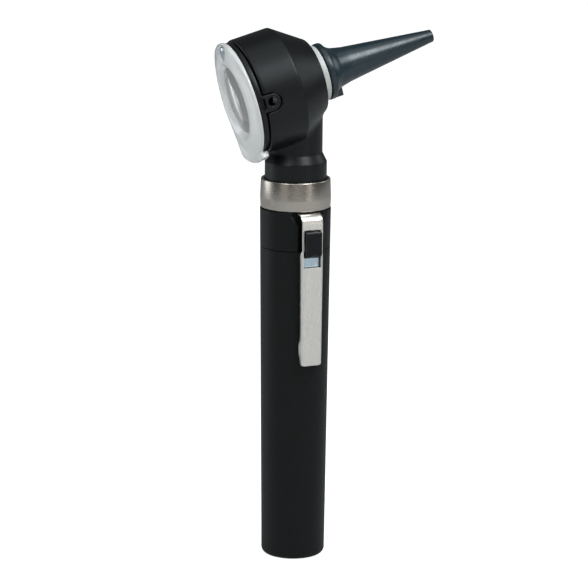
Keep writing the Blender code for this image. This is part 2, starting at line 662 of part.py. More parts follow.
def swing_plate(optical):
    """The clear plate that carries the magnifier and swings aside about its top pin.

    It is a crowned disc, a little taller than wide, with a thumb tab at the bottom.
    """
    rear, front = PLATE_S
    wide = PLATE_NEAR_R
    crown = [(0.0, rear), (12.3, rear), (13.1, rear + 0.15), (15.0, rear + 0.75),
             (16.6, rear + 1.3), (wide, rear + 1.85), (wide, front - 0.2),
             (wide - 0.2, front), (0.0, front)]
    taller = Matrix.Diagonal((CROWN_STRETCH, 1.0, 1.0, 1.0))
    plate = piece("lens_plate", "lens_acrylic", turned(lathe(crown), taller), optical,
                  (PIVOT_V, 0.0, rear))
    oval = Matrix.Diagonal((PLATE_UP_R / wide, 1.0, 1.0, 1.0))
    combine(plate, "INTERSECT", turned(rod(wide - 0.05, rear - 1.0, front + 1.0), oval), optical)
    tab = [(-8.7, -9.8, rear), (-13.8, -8.5, rear), (-18.0, -6.8, rear), (-19.3, -5.8, rear),
           (-19.8, -4.0, rear), (-13.0, -2.2, rear), (-8.7, 8.5, rear + 0.2),
           (-13.8, 8.2, rear + 0.8), (-18.3, 6.4, rear + 1.0), (-19.7, 4.0, rear + 0.9),
           (-20.2, 1.0, rear + 0.6)]
    for along in (rear + 1.7, front):
        tab += [(-9.0, -12.0, along), (-14.5, -10.2, along), (-17.6, -7.6, along),
                (-19.5, -5.0, along), (-20.3, -2.0, along), (-20.3, 2.0, along),
                (-19.5, 5.0, along), (-17.6, 7.6, along), (-14.5, 10.2, along),
                (-9.0, 12.0, along)]
    combine(plate, "UNION", hull(tab), optical)
    # A small hook on the rim catches the bezel's edge from outside.
    base = [rim_point(angle, radius, along) for angle in (21.0, 31.5)
            for radius in (16.5, 19.9) for along in (front - 1.0, front)]
    hook = [rim_point(angle, radius, along) for angle in (21.0, 31.5)
            for radius in (18.05, 19.9) for along in (front - 1.0, front + 1.3)]
    combine(plate, "UNION", hull(base), optical)
    combine(plate, "UNION", hull(hook), optical)
    seat = [(0.0, rear - 1.0), (LENS_BEVEL_R + 1.0, rear - 1.0), (LENS_BEVEL_R, rear),
            (LENS_BORE_R, rear + 1.3), (LENS_BORE_R, front + 1.0), (0.0, front + 1.0)]
    combine(plate, "DIFFERENCE", lathe(seat), optical)
    top = Matrix.Translation((PIVOT_V, 0.0, 0.0))
    combine(plate, "DIFFERENCE",
            turned(rod(PIVOT_SHAFT_R + 0.25, rear - 1.0, front + 1.0, 16), top), optical)
    combine(plate, "DIFFERENCE",
            turned(rod(PIVOT_HEAD_R + 0.35, rear - 1.0, rear + 1.3, 24), top), optical)


def magnifier(optical):
    rear, front = PLATE_S
    edge = front - 1.0
    sphere_r = (LENS_R ** 2 + LENS_CROWN ** 2) / (2.0 * LENS_CROWN)
    steps = 7
    dome = []
    for step in range(steps):
        radius = LENS_R * (1.0 - step / steps)
        rise = math.sqrt(sphere_r ** 2 - radius ** 2) - (sphere_r - LENS_CROWN)
        dome.append((radius, edge - rise))
    profile = [(0.0, front - 0.15), (LENS_R, front - 0.15)] + dome + [(0.0, edge - LENS_CROWN)]
    piece("magnifier_lens", "lens_acrylic", lathe(profile), optical, (0.0, 0.0, edge))
    pin = [(0.0, -17.5), (PIVOT_SHAFT_R, -17.5), (PIVOT_SHAFT_R, rear + 1.0),
           (PIVOT_HEAD_R, rear + 1.0), (PIVOT_HEAD_R, rear + 0.5),
           (PIVOT_HEAD_R - 0.5, rear + 0.15), (0.0, rear + 0.05)]
    piece("lens_pivot_pin", "spring_steel",
          turned(lathe(pin, 20), Matrix.Translation((PIVOT_V, 0.0, 0.0))), optical,
          (PIVOT_V, 0.0, rear))


def speculum_radius(along):
    """The speculum's outside along its straight cone."""
    share = (along - SPECULUM_CONE_S) / (SPECULUM_S[1] - SPECULUM_CONE_S)
    return SPECULUM_CONE_R + (SPECULUM_TIP_R - SPECULUM_CONE_R) * share


def seat_and_guide(handle, optical):
    """The seat that the speculum pushes onto, its nut, and the fibre light guide in it."""
    root, front = SEAT_S
    profile = [(4.4, 1.2), (SEAT_SPIGOT_R, 1.2), (SEAT_SPIGOT_R, root), (SEAT_RIM_R, root),
               (SEAT_RIM_R, root + 0.35), (SEAT_R, root + 0.6), (SEAT_R, front - 0.2),
               (SEAT_R - 0.2, front), (NOSE_ROOT_R, front), (NOSE_ROOT_R, 11.0),
               (NOSE_TIP_R, NOSE_TIP_S), (NOSE_TIP_R - 0.4, NOSE_TIP_S), (4.4, 10.5)]
    piece("speculum_seat", "seat_plastic", lathe(profile), optical)
    piece("seat_nut", "sleeve_nickel",
          washer(SEAT_SPIGOT_R + FIT_GAP, 8.7, 1.3, HEAD_FRONT_S - HEAD_WALL - 0.25), optical)
    tip_r = NOSE_TIP_R - 0.65
    guide = piece("light_guide", "fibre_guide",
                  lathe([(3.55, -1.6), (4.15, -1.6), (4.15, 10.4), (tip_r, NOSE_TIP_S - 0.3),
                         (tip_r - 0.6, NOSE_TIP_S - 0.3), (3.55, 10.4)], 40), optical)
    combine(guide, "UNION",
            sweep([(0.0, 0.0, 134.3), (0.0, 0.0, 141.0), (0.5, 0.0, 147.0)], 1.4, 16), handle)


def speculum(optical):
    base, tip = SPECULUM_S
    cone_s, wall = SPECULUM_CONE_S, SPECULUM_WALL
    flange = SPECULUM_FLANGE_R
    outside = [(5.3, base), (flange - 0.35, base), (flange, base + 0.5), (flange, base + 1.5),
               (flange - 0.55, base + 2.15), (7.75, base + 2.6), (7.05, base + 3.6),
               (6.25, base + 5.0), (SPECULUM_CONE_R, cone_s)]
    outside += [(speculum_radius(tip - 0.5), tip - 0.5), (SPECULUM_TIP_R - 0.25, tip)]
    inside = [(SPECULUM_TIP_R - 0.6, tip), (speculum_radius(tip - 2.0) - wall, tip - 2.0),
              (5.25, base + 3.7)]
    cone = piece("speculum", "speculum_plastic", lathe(outside + inside), optical,
                 (0.0, 0.0, base))
    lug = block((-8.75, -1.6, base + 1.9), (-5.7, 1.6, base + 4.9))
    combine(cone, "UNION", lug, optical)


def build():
    clear_scene()
    optical_turn = Matrix.Rotation(math.radians(90.0) - HEAD_TILT, 4, "Y")
    half_turn = Matrix.Rotation(math.pi, 4, "Z")
    in_mm = Matrix.Translation((0.0, 0.0, HEAD_AXIS_Z)) @ optical_turn @ half_turn
    in_metres = Matrix.Translation((0.0, 0.0, HEAD_AXIS_Z * MM)) @ optical_turn @ half_turn
    handle = add_frame("handle_axis", Matrix.Identity(4))
    clip_side = add_frame("clip_side", Matrix.Rotation(CLIP_AZIMUTH, 4, "Z"))
    optical = add_frame("optical_axis", in_metres)
    bpy.context.view_layer.update()

    battery_tube(handle)
    battery_cells(handle)
    base_contacts(handle)
    collar_shell(handle, clip_side)
    handle_ring(handle)
    top_contacts(handle)
    pocket_clip(clip_side)
    switch_parts(clip_side)
    coupling_parts(handle)
    lamp_parts(handle)
    head_housing(handle, optical, in_mm)
    lens_bezel(optical)
    swing_plate(optical)
    magnifier(optical)
    seat_and_guide(handle, optical)
    speculum(optical)
    bpy.context.view_layer.update()


build()
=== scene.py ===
"""Looks of the otoscope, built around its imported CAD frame.

Shapes are drawn in millimetres, either in the row frame, in the clip's frame
(+X outwards, +Z up) or in the optical frame (+X up, +Y towards the port's
side, +Z along the line of sight), and are turned into metres when meshed.
"""
import json
import math

import bmesh
import bpy
import numpy as np
from mathutils import Matrix, Vector


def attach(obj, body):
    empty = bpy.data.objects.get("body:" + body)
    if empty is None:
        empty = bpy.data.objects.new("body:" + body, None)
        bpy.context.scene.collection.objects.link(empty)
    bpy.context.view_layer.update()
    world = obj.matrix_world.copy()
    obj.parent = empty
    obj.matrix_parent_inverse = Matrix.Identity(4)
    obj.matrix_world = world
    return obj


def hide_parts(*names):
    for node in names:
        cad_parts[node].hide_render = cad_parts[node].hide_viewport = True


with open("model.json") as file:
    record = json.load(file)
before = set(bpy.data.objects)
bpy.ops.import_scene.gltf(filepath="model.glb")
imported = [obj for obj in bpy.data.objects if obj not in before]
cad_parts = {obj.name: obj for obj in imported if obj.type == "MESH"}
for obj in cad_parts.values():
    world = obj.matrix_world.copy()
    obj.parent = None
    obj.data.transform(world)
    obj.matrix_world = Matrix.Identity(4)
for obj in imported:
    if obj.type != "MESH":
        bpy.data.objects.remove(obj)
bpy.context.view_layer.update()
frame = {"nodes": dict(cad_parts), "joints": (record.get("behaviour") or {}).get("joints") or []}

MM = 0.001
FACETS = 144         # round a turned piece

nodes = frame["nodes"]
joints = {joint["name"]: joint for joint in frame["joints"]}


# ---------------------------------------------------------------- frames and sizes

def in_axes(points, matrix):
    """Row-frame points in the axes of matrix."""
    inverse = np.array(matrix.inverted())
    return points @ inverse[:3, :3].T + inverse[:3, 3]


def mesh_points(mesh):
    """A mesh's vertices in millimetres."""
    flat = np.empty(len(mesh.vertices) * 3)
    mesh.vertices.foreach_get("co", flat)
    return flat.reshape(-1, 3) / MM


def vertices_mm(node, matrix):
    """A CAD node's vertices in millimetres in the axes of matrix."""
    return in_axes(mesh_points(nodes[node].data), matrix)


def extent(node, matrix=Matrix.Identity(4)):
    """A CAD node's lowest and highest corners along the axes of matrix."""
    points = vertices_mm(node, matrix)
    return Vector(points.min(0)), Vector(points.max(0))


ROW = Matrix.Identity(4)

sight = Vector(joints["speculum_pull"]["axis"]).normalized()
HEAD_TILT = math.atan2(sight.z, sight.x)
optical_turn = Matrix.Rotation(math.radians(90.0) - HEAD_TILT, 4, "Y")
optical_turn = optical_turn @ Matrix.Rotation(math.pi, 4, "Z")
seat_low, seat_high = extent("speculum_seat", optical_turn)
HEAD_AXIS_Z = 0.5 * (seat_low.x + seat_high.x) / math.cos(HEAD_TILT)
OPTICAL = Matrix.Translation((0.0, 0.0, HEAD_AXIS_Z)) @ optical_turn

hinge = Vector(joints["clip_flex"]["axis"])
CLIP_SIDE = Matrix.Rotation(math.atan2(hinge.x, -hinge.y), 4, "Z")


# ---------------------------------------------------------------- mesh helpers

def rounded(outline, radii, steps, closed=False):
    """Round the corners of an outline. radii gives one radius for each point."""
    count = len(outline)
    result = []
    for index, point in enumerate(outline):
        radius = radii[index] if isinstance(radii, (list, tuple)) else radii
        at_end = not closed and index in (0, count - 1)
        if radius <= 0.0 or at_end:
            result.append(tuple(point))
            continue
        here = Vector(point)
        before = Vector(outline[index - 1]) - here
        after = Vector(outline[(index + 1) % count]) - here
        angle = before.angle(after)
        if angle > math.radians(179.0):
            result.append(tuple(point))
            continue
        reach = radius / math.tan(angle / 2.0)
        limit = 0.49 * min(before.length, after.length)
        if reach > limit:
            radius, reach = radius * limit / reach, limit
        first = here + before.normalized() * reach
        last = here + after.normalized() * reach
        middle = (before.normalized() + after.normalized()).normalized()
        centre = here + middle * (radius / math.sin(angle / 2.0))
        start = first - centre
        turn = start.angle_signed(last - centre)
        for step in range(steps + 1):
            share = -turn * step / steps
            spun = Vector((start.x * math.cos(share) - start.y * math.sin(share),
                           start.x * math.sin(share) + start.y * math.cos(share)))
            result.append(tuple(centre + spun))
    return result


def lathe(profile):
    """Turn (radius, height) points about local Z, as a solid or as a closed ring."""
    bm = bmesh.new()
    verts = [bm.verts.new((radius, 0.0, height)) for radius, height in profile]
    edges = [bm.edges.new(pair) for pair in zip(verts, verts[1:])]
    if profile[0][0] > 0.0 or profile[-1][0] > 0.0:
        edges.append(bm.edges.new((verts[-1], verts[0])))
    bmesh.ops.spin(bm, geom=verts + edges, cent=(0.0, 0.0, 0.0), axis=(0.0, 0.0, 1.0),
                   angle=math.tau, steps=FACETS, use_merge=True)
    bmesh.ops.remove_doubles(bm, verts=bm.verts, dist=0.0005)
    return bm


def prism(outline, axis, low, high):
    """Extrude a flat outline from low to high along the axis numbered 0, 1 or 2."""
    bm = bmesh.new()

    def corner(point, level):
        place = list(point)
        place.insert(axis, level)
        return bm.verts.new(place)

    near = [corner(point, low) for point in outline]
    far = [corner(point, high) for point in outline]
    bm.faces.new(near)
    bm.faces.new(far)
    for index in range(len(outline)):
        after = (index + 1) % len(outline)
        bm.faces.new((near[index], near[after], far[after], far[index]))
    return bm


def block(low, high):
    """A box between two corners."""
    outline = [(low[0], low[1]), (high[0], low[1]), (high[0], high[1]), (low[0], high[1])]
    return prism(outline, 2, low[2], high[2])


def placed(name, data):
    """A new object in the scene."""
    made = bpy.data.objects.new(name, data)
    bpy.context.scene.collection.objects.link(made)
    return made


def meshed(name, bm, matrix):
    """An object in the row frame from a bmesh drawn in matrix's axes."""
    bmesh.ops.recalc_face_normals(bm, faces=bm.faces)
    if bm.calc_volume(signed=True) < 0.0:
        bmesh.ops.reverse_faces(bm, faces=bm.faces)
    bmesh.ops.transform(bm, matrix=Matrix.Scale(MM, 4) @ matrix, verts=bm.verts)
    mesh = bpy.data.meshes.new(name)
    bm.to_mesh(mesh)
    bm.free()
    return placed(name, mesh)


def shade(made, angle=40.0):
    made.data.shade_smooth()
    made.data.set_sharp_from_angle(angle=math.radians(angle))


def apply_modifiers(made):
    bpy.context.view_layer.update()
    depsgraph = bpy.context.evaluated_depsgraph_get()
    baked = bpy.data.meshes.new_from_object(made.evaluated_get(depsgraph))
    made.modifiers.clear()
    made.data = baked


def bevel(made, width, segments, angle=35.0):
    modifier = made.modifiers.new("edges", "BEVEL")
    modifier.width = width * MM
    modifier.segments = segments
    modifier.limit_method = "ANGLE"
    modifier.angle_limit = math.radians(angle)
    modifier.miter_outer = "MITER_ARC"
    apply_modifiers(made)


def finish(made, body, material, slot, *replaced):
    """Give a piece its material, and let it stand for CAD nodes on a body."""
    made.data.materials.clear()
    made.data.materials.append(material)
    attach(made, body)
    if replaced:
        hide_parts(*replaced)
    return made


# ---------------------------------------------------------------- fields: shapes as distances

SETTLE_ROUNDS = 5
SETTLE_REACH = 0.45       # the farthest that a vertex moves in one round, in millimetres
PROBE = 0.01              # the step that a field's slope is measured over


def from_outline(radius, height, outline):
    """Signed distance in the half plane to a closed outline, negative inside."""
    points = np.array(outline)
    best = np.full(radius.shape, np.inf)
    inside = np.zeros(radius.shape, bool)
    for (x0, y0), (x1, y1) in zip(points, np.roll(points, -1, axis=0)):
        edge_x, edge_y = x1 - x0, y1 - y0
        length_sq = edge_x ** 2 + edge_y ** 2
        share = ((radius - x0) * edge_x + (height - y0) * edge_y) / length_sq
        share = np.clip(share, 0.0, 1.0)
        away = (radius - x0 - share * edge_x) ** 2 + (height - y0 - share * edge_y) ** 2
        best = np.minimum(best, away)
        spans = (y0 > height) != (y1 > height)
        if edge_y != 0.0:
            crossing = x0 + (height - y0) * edge_x / edge_y
            inside ^= spans & (radius < crossing)
    return np.where(inside, -1.0, 1.0) * np.sqrt(best)


def turned_field(points, outline):
    return from_outline(np.hypot(points[:, 0], points[:, 1]), points[:, 2], outline)


def box_field(points, low, high, rounding=0.0):
    centre = (np.array(low) + np.array(high)) / 2.0
    half = (np.array(high) - np.array(low)) / 2.0 - rounding
    away = np.abs(points - centre) - half
    outside = np.linalg.norm(np.maximum(away, 0.0), axis=1)
    return outside + np.minimum(away.max(axis=1), 0.0) - rounding


def rod_field(points, axis, centre, radius, low, high):
    """A rod along the axis numbered 0, 1 or 2, with centre on the other two."""
    others = [index for index in range(3) if index != axis]
    across = np.hypot(points[:, others[0]] - centre[0], points[:, others[1]] - centre[1])
    along = np.abs(points[:, axis] - (low + high) / 2.0) - (high - low) / 2.0
    return np.maximum(across - radius, along)


def union(first, second, blend):
    """Join two fields with a fillet of about blend millimetres."""
    share = np.clip(0.5 + 0.5 * (second - first) / blend, 0.0, 1.0)
    return second + (first - second) * share - blend * share * (1.0 - share)


def common(first, second, blend):
    return -union(-first, -second, blend)


def cut(first, second, blend):
    return common(first, -second, blend)


def convex(corners):
    """The planes round a convex shape, as (outward normal, offset) rows."""
    bm = bmesh.new()
    for corner in corners:
        bm.verts.new(corner)
    bmesh.ops.convex_hull(bm, input=bm.verts)
    inside = sum((Vector(corner) for corner in corners), Vector()) / len(corners)
    planes = []
    for face in bm.faces:
        face.normal_update()
        normal = face.normal.copy()
        if normal.dot(face.verts[0].co - inside) < 0.0:
            normal.negate()
        offset = normal.dot(face.verts[0].co)
        if face.calc_area() > 1e-4 and all(normal.dot(known) < 0.9999 or abs(offset - level) > 0.01
                                           for known, level in planes):
            planes.append((normal, offset))
    bm.free()
    return planes


def convex_field(points, planes, rounding):
    """A convex shape with its edges rounded by about rounding millimetres."""
    value = None
    for normal, offset in planes:
        face = points @ np.array(normal) - offset
        value = face if value is None else common(value, face, rounding)
    return value


def settle(made, field):
    """Move a mesh's vertices onto the zero surface of a field over the row frame."""
    mesh = made.data
    points = mesh_points(mesh)
    for _ in range(SETTLE_ROUNDS):
        value = field(points)
        slope = np.empty_like(points)
        for index in range(3):
            offset = np.zeros(3)
            offset[index] = PROBE
            slope[:, index] = (field(points + offset) - field(points - offset)) / (2.0 * PROBE)
        steepness = np.maximum((slope ** 2).sum(axis=1), 0.05)
        move = -slope * (value / steepness)[:, None]
        size = np.linalg.norm(move, axis=1)
        move *= np.minimum(1.0, SETTLE_REACH / np.maximum(size, 1e-9))[:, None]
        points = points + move
    mesh.vertices.foreach_set("co", (points * MM).astype(np.float32).ravel())
    mesh.update()


def remeshed(name, node, voxel, field, matrix):
    """A fine skin over a CAD node, settled onto a field with true fillets.

    The voxel grid stands along matrix's axes, so that flat faces stay flat.
    """
    mesh = nodes[node].data.copy()
    made = placed(name, mesh)
    local = Matrix.Scale(MM, 4) @ matrix
    mesh.transform(local.inverted())
    modifier = made.modifiers.new("skin", "REMESH")
    modifier.mode = "VOXEL"
    modifier.voxel_size = voxel
    apply_modifiers(made)
    made.data.transform(local)
    settle(made, field)
    made.data.shade_smooth()
    return made


# ---------------------------------------------------------------- materials

NOISE_LOW, NOISE_HIGH = 0.3, 0.7      # where nearly all of a noise texture's values lie


def new_material(name):
    made = bpy.data.materials.new(name)
    made.use_nodes = True
    tree = made.node_tree
    return made, tree, tree.nodes["Principled BSDF"]


def millimetres(tree, stretch=(1.0, 1.0, 1.0)):
    """Texture space in millimetres, squeezed along each axis by stretch."""
    place = tree.nodes.new("ShaderNodeTexCoord")
    mapping = tree.nodes.new("ShaderNodeMapping")
    mapping.inputs["Scale"].default_value = tuple(value / MM for value in stretch)
    tree.links.new(place.outputs["Object"], mapping.inputs["Vector"])
    return mapping.outputs["Vector"]


def around_axis(tree, per_turn, per_mm):
    """Texture space that follows a turned surface: angle about Z, height, radius."""
    place = tree.nodes.new("ShaderNodeTexCoord")
    split = tree.nodes.new("ShaderNodeSeparateXYZ")
    tree.links.new(place.outputs["Object"], split.inputs[0])
    angle = tree.nodes.new("ShaderNodeMath")
    angle.operation = "ARCTAN2"
    tree.links.new(split.outputs["Y"], angle.inputs[0])
    tree.links.new(split.outputs["X"], angle.inputs[1])
    joined = tree.nodes.new("ShaderNodeCombineXYZ")
    tree.links.new(angle.outputs[0], joined.inputs["X"])
    tree.links.new(split.outputs["Z"], joined.inputs["Y"])
    mapping = tree.nodes.new("ShaderNodeMapping")
    mapping.inputs["Scale"].default_value = (per_turn / math.tau, per_mm / MM, 1.0)
    tree.links.new(joined.outputs[0], mapping.inputs["Vector"])
    return mapping.outputs["Vector"]


def noise(tree, vector, scale, detail, roughness=0.5):
    made = tree.nodes.new("ShaderNodeTexNoise")
    made.inputs["Scale"].default_value = scale
    made.inputs["Detail"].default_value = detail
    made.inputs["Roughness"].default_value = roughness
    tree.links.new(vector, made.inputs["Vector"])
    return made.outputs["Fac"]


def ramp(tree, value, low, high):
    """Map a noise value to a range of numbers."""
    made = tree.nodes.new("ShaderNodeMapRange")
    made.inputs["From Min"].default_value = NOISE_LOW
    made.inputs["From Max"].default_value = NOISE_HIGH
    made.inputs["To Min"].default_value = low
    made.inputs["To Max"].default_value = high
    tree.links.new(value, made.inputs["Value"])
    return made.outputs["Result"]


def tint(tree, value, dark, light):
    """Map a noise value to a range of colours."""
    made = tree.nodes.new("ShaderNodeValToRGB")
    made.color_ramp.elements[0].position = NOISE_LOW
    made.color_ramp.elements[0].color = (*dark, 1.0)
    made.color_ramp.elements[1].position = NOISE_HIGH
    made.color_ramp.elements[1].color = (*light, 1.0)
    tree.links.new(value, made.inputs["Fac"])
    return made.outputs["Color"]


def relief(tree, shader, value, depth):
    """Bump of a given depth in millimetres."""
    made = tree.nodes.new("ShaderNodeBump")
    made.inputs["Strength"].default_value = 1.0
    made.inputs["Distance"].default_value = depth * MM
    tree.links.new(value, made.inputs["Height"])
    tree.links.new(made.outputs["Normal"], shader.inputs["Normal"])


def scaled(colour, factor):
    return tuple(channel * factor for channel in colour)


def moulded(name, colour, rough, grain_mm, grain_depth, specular, variation=0.18):
    """Moulded plastic with a spark-eroded grain and slight patchiness."""
    made, tree, shader = new_material(name)
    space = millimetres(tree)
    patches = noise(tree, space, 0.12, 3.0)
    grain = noise(tree, space, 1.0 / grain_mm, 2.0, 0.6)
    colour_out = tint(tree, patches, scaled(colour, 1.0 - variation),
                      scaled(colour, 1.0 + variation))
    tree.links.new(colour_out, shader.inputs["Base Color"])
    tree.links.new(ramp(tree, grain, rough - 0.05, rough + 0.07), shader.inputs["Roughness"])
    shader.inputs["Specular IOR Level"].default_value = specular
    relief(tree, shader, grain, grain_depth)
    return made


def brushed(name, colour, rough, vector_maker, streak_depth, variation=0.12, stretch=0.0):
    """Metal with fine brush lines along one direction.

    A stretch above 0 spreads highlights across lines that run round Z.
    """
    made, tree, shader = new_material(name)
    lines = noise(tree, vector_maker(tree), 1.0, 4.0, 0.65)
    broad = noise(tree, millimetres(tree), 0.15, 2.0)
    colour_out = tint(tree, lines, scaled(colour, 1.0 - variation),
                      scaled(colour, 1.0 + variation * 0.6))
    tree.links.new(colour_out, shader.inputs["Base Color"])
    mixed = tree.nodes.new("ShaderNodeMath")
    mixed.operation = "ADD"
    tree.links.new(ramp(tree, lines, -0.06, 0.06), mixed.inputs[0])
    tree.links.new(ramp(tree, broad, rough - 0.04, rough + 0.04), mixed.inputs[1])
    tree.links.new(mixed.outputs[0], shader.inputs["Roughness"])
    shader.inputs["Metallic"].default_value = 1.0
    if stretch > 0.0:
        around = tree.nodes.new("ShaderNodeTangent")
        around.direction_type = "RADIAL"
        around.axis = "Z"
        shader.inputs["Anisotropic"].default_value = stretch
        tree.links.new(around.outputs["Tangent"], shader.inputs["Tangent"])
    relief(tree, shader, lines, streak_depth)
    return made


def clear_plastic(name, colour, rough, transmission, ior):
    """Clear plastic or glass with a faint haze."""
    made, tree, shader = new_material(name)
    haze = noise(tree, millimetres(tree), 0.25, 2.0)
    tree.links.new(tint(tree, haze, scaled(colour, 0.97), colour), shader.inputs["Base Color"])
    tree.links.new(ramp(tree, haze, rough * 0.7, rough * 1.3), shader.inputs["Roughness"])
    shader.inputs["Transmission Weight"].default_value = transmission
    shader.inputs["IOR"].default_value = ior
    return made


MATERIALS = {
    "handle_black": moulded("handle_black", (0.0028, 0.0036, 0.0037), 0.48, 0.35, 0.016, 0.22),
    "head_black": moulded("head_black", (0.002, 0.0027, 0.0035), 0.38, 0.35, 0.018, 0.31),
    "bezel_black": moulded("bezel_black", (0.0022, 0.0026, 0.0032), 0.36, 0.3, 0.008, 0.36),
    "button_black": moulded("button_black", (0.003, 0.003, 0.005), 0.32, 0.5, 0.004, 0.22),
    "carrier_grey": moulded("carrier_grey", (0.03, 0.03, 0.032), 0.5, 0.4, 0.01, 0.4),
    "seat_grey": moulded("seat_grey", (0.6, 0.6, 0.57), 0.4, 0.4, 0.004, 0.5, 0.04),
    "speculum_blue": moulded("speculum_blue", (0.005, 0.017, 0.024), 0.31, 2.5, 0.0006, 0.62, 0.1),
    "rubber_black": moulded("rubber_black", (0.012, 0.012, 0.012), 0.7, 0.2, 0.01, 0.3),
    "fibre_white": moulded("fibre_white", (0.75, 0.77, 0.79), 0.3, 0.1, 0.02, 0.5, 0.05),
    "ring_nickel": brushed("ring_nickel", (0.47, 0.425, 0.375), 0.24,
                           lambda tree: around_axis(tree, 30.0, 9.0), 0.002, 0.14, 0.7),
    "clip_steel": brushed("clip_steel", (0.79, 0.745, 0.7), 0.3,
                          lambda tree: millimetres(tree, (7.0, 7.0, 0.25)), 0.003),
    "plate_steel": brushed("plate_steel", (0.5, 0.6, 0.68), 0.22,
                           lambda tree: millimetres(tree, (6.0, 6.0, 0.5)), 0.003),
    "spring_steel": brushed("spring_steel", (0.55, 0.58, 0.62), 0.28,
                            lambda tree: millimetres(tree, (3.0, 3.0, 3.0)), 0.003),
    "brass": brushed("brass", (0.72, 0.52, 0.22), 0.3,
                     lambda tree: around_axis(tree, 30.0, 6.0), 0.003),
    "sleeve_nickel": brushed("sleeve_nickel", (0.6, 0.58, 0.53), 0.28,
                             lambda tree: around_axis(tree, 40.0, 8.0), 0.003),
    "cell_can": brushed("cell_can", (0.32, 0.33, 0.36), 0.3,
                        lambda tree: around_axis(tree, 20.0, 2.0), 0.002),
    "plate_clear": clear_plastic("plate_clear", (0.98, 0.975, 0.97), 0.04, 0.42, 1.5),
    "lens_clear": clear_plastic("lens_clear", (0.98, 0.975, 0.96), 0.01, 0.9, 1.55),
    "lamp_glass": clear_plastic("lamp_glass", (0.96, 0.96, 0.95), 0.02, 1.0, 1.5),
}


# ---------------------------------------------------------------- handle

SEAM_EDGE = 0.07        # rounding of the two edges at the seam
SEAM_GAP = 0.1
FOOT_FILLET = 1.7
BORE_R = 8.1
SOCKET_R = 9.2
SOCKET_DEPTH = 8.0
FLOOR = 2.0


def battery_tube():
    """The tapered tube on its flat foot, open at the top."""
    low, high = extent("battery_tube")
    top_r = high.x
    foot_r = 9.93
    outline = [(0.0, low.z), (foot_r - 0.02, low.z), (top_r, high.z), (SOCKET_R, high.z),
               (SOCKET_R, high.z - SOCKET_DEPTH), (BORE_R, high.z - SOCKET_DEPTH - 0.4),
               (BORE_R, FLOOR), (0.0, FLOOR)]
    radii = [0.0, FOOT_FILLET, SEAM_EDGE, 0.25, 0.1, 0.1, 0.6, 0.0]
    made = meshed("battery_tube_skin", lathe(rounded(outline, radii, 7)), ROW)
    shade(made)
    finish(made, "battery_body", MATERIALS["handle_black"], "handle_plastic", "battery_tube")


def handle_ring():
    """The metal ring, with a faint crease round it and a floor with a hole."""
    low, high = extent("handle_ring")
    bottom_r, crease_r, top_r = 10.85, high.x, 10.75
    crease_z, bore_r, hole_r, floor = 114.9, 9.85, 5.0, 1.0
    outline = [(hole_r, low.z), (bottom_r, low.z), (crease_r, crease_z), (top_r, high.z),
               (bore_r - 0.05, high.z), (bore_r, high.z - 0.6), (bore_r, low.z + floor),
               (hole_r, low.z + floor)]
    radii = [0.1, 0.25, 0.08, 0.42, 0.3, 0.1, 0.1, 0.1]
    made = meshed("handle_ring_skin", lathe(rounded(outline, radii, 6, closed=True)), ROW)
    shade(made, 50.0)
    finish(made, "handle_top", MATERIALS["ring_nickel"], "ring_nickel", "handle_ring")


def collar_shell():
    """The collar with its notch round the clip, and the sloped corners beside the bend."""
    points = vertices_mm("collar_shell", ROW)
    spigot_z, high = points[:, 2].min(), points[:, 2].max()
    low = extent("battery_tube")[1].z + SEAM_GAP
    spigot_r, bore_r, foot_r, top_r, top_z = 8.9, 8.0, 9.93, 11.0, 111.65
    notch_half, notch_top_half, notch_floor = 3.4, 5.2, 8.9
    flare_low, flare_high = 107.0, 110.3

    def radius_at(height):
        return foot_r + (top_r - foot_r) * height / top_z

    outline = [(bore_r, spigot_z), (spigot_r, spigot_z), (spigot_r, low),
               (radius_at(low), low), (radius_at(high), high), (bore_r, high)]
    radii = [0.1, 0.3, 0.05, SEAM_EDGE, 0.1, 0.1]
    outline = rounded(outline, radii, 5, closed=True)
    right = [(notch_half, low - 2.0), (notch_half, flare_low), (notch_top_half, flare_high),
             (notch_top_half, high + 3.0)]
    notch_outline = right + [(-across, height) for across, height in reversed(right)]
    slope = [(9.05, flare_high), (9.05, high + 3.0), (16.0, high + 3.0), (16.0, flare_low - 0.3),
             (10.45, flare_low - 0.3)]

    def field(place):
        body = turned_field(place, outline)
        clip = in_axes(place, CLIP_SIDE)
        notch = np.maximum(from_outline(clip[:, 1], clip[:, 2], notch_outline),
                           notch_floor - clip[:, 0])
        scoop = np.maximum(from_outline(clip[:, 0], clip[:, 2], slope),
                           np.abs(clip[:, 1]) - 6.4)
        return cut(cut(body, notch, 0.2), scoop, 0.12)

    made = remeshed("collar_shell_skin", "collar_shell", 0.28, field, CLIP_SIDE)
    finish(made, "handle_top", MATERIALS["handle_black"], "handle_plastic", "collar_shell")


# ---------------------------------------------------------------- clip and switch

CLIP_FACE = 13.0
CLIP_SHEET = 0.7
CLIP_CORNER = 0.6
CLIP_BEND_R = 3.0
CLIP_TAB_END = 9.2
CLIP_HALF_TOP = 3.5
CLIP_HALF_BOTTOM = 3.1
CLIP_FLANGE_OUT = 0.3
WINDOW_HALF = 2.93
WINDOW_Z = (94.5, 106.3)
FLANGE_FADE_Z = (98.6, 99.8)
FLANGE_DEPTH = 1.35
HEEL_Z = (64.0, 68.4, 69.0, 73.4)
HEEL_DEPTH = 1.9
END_ROUND = 0.6


def eased(value, start, end):
    """0 before start, 1 after end, smooth between."""
    share = min(max((value - start) / (end - start), 0.0), 1.0)
    return share * share * (3.0 - 2.0 * share)


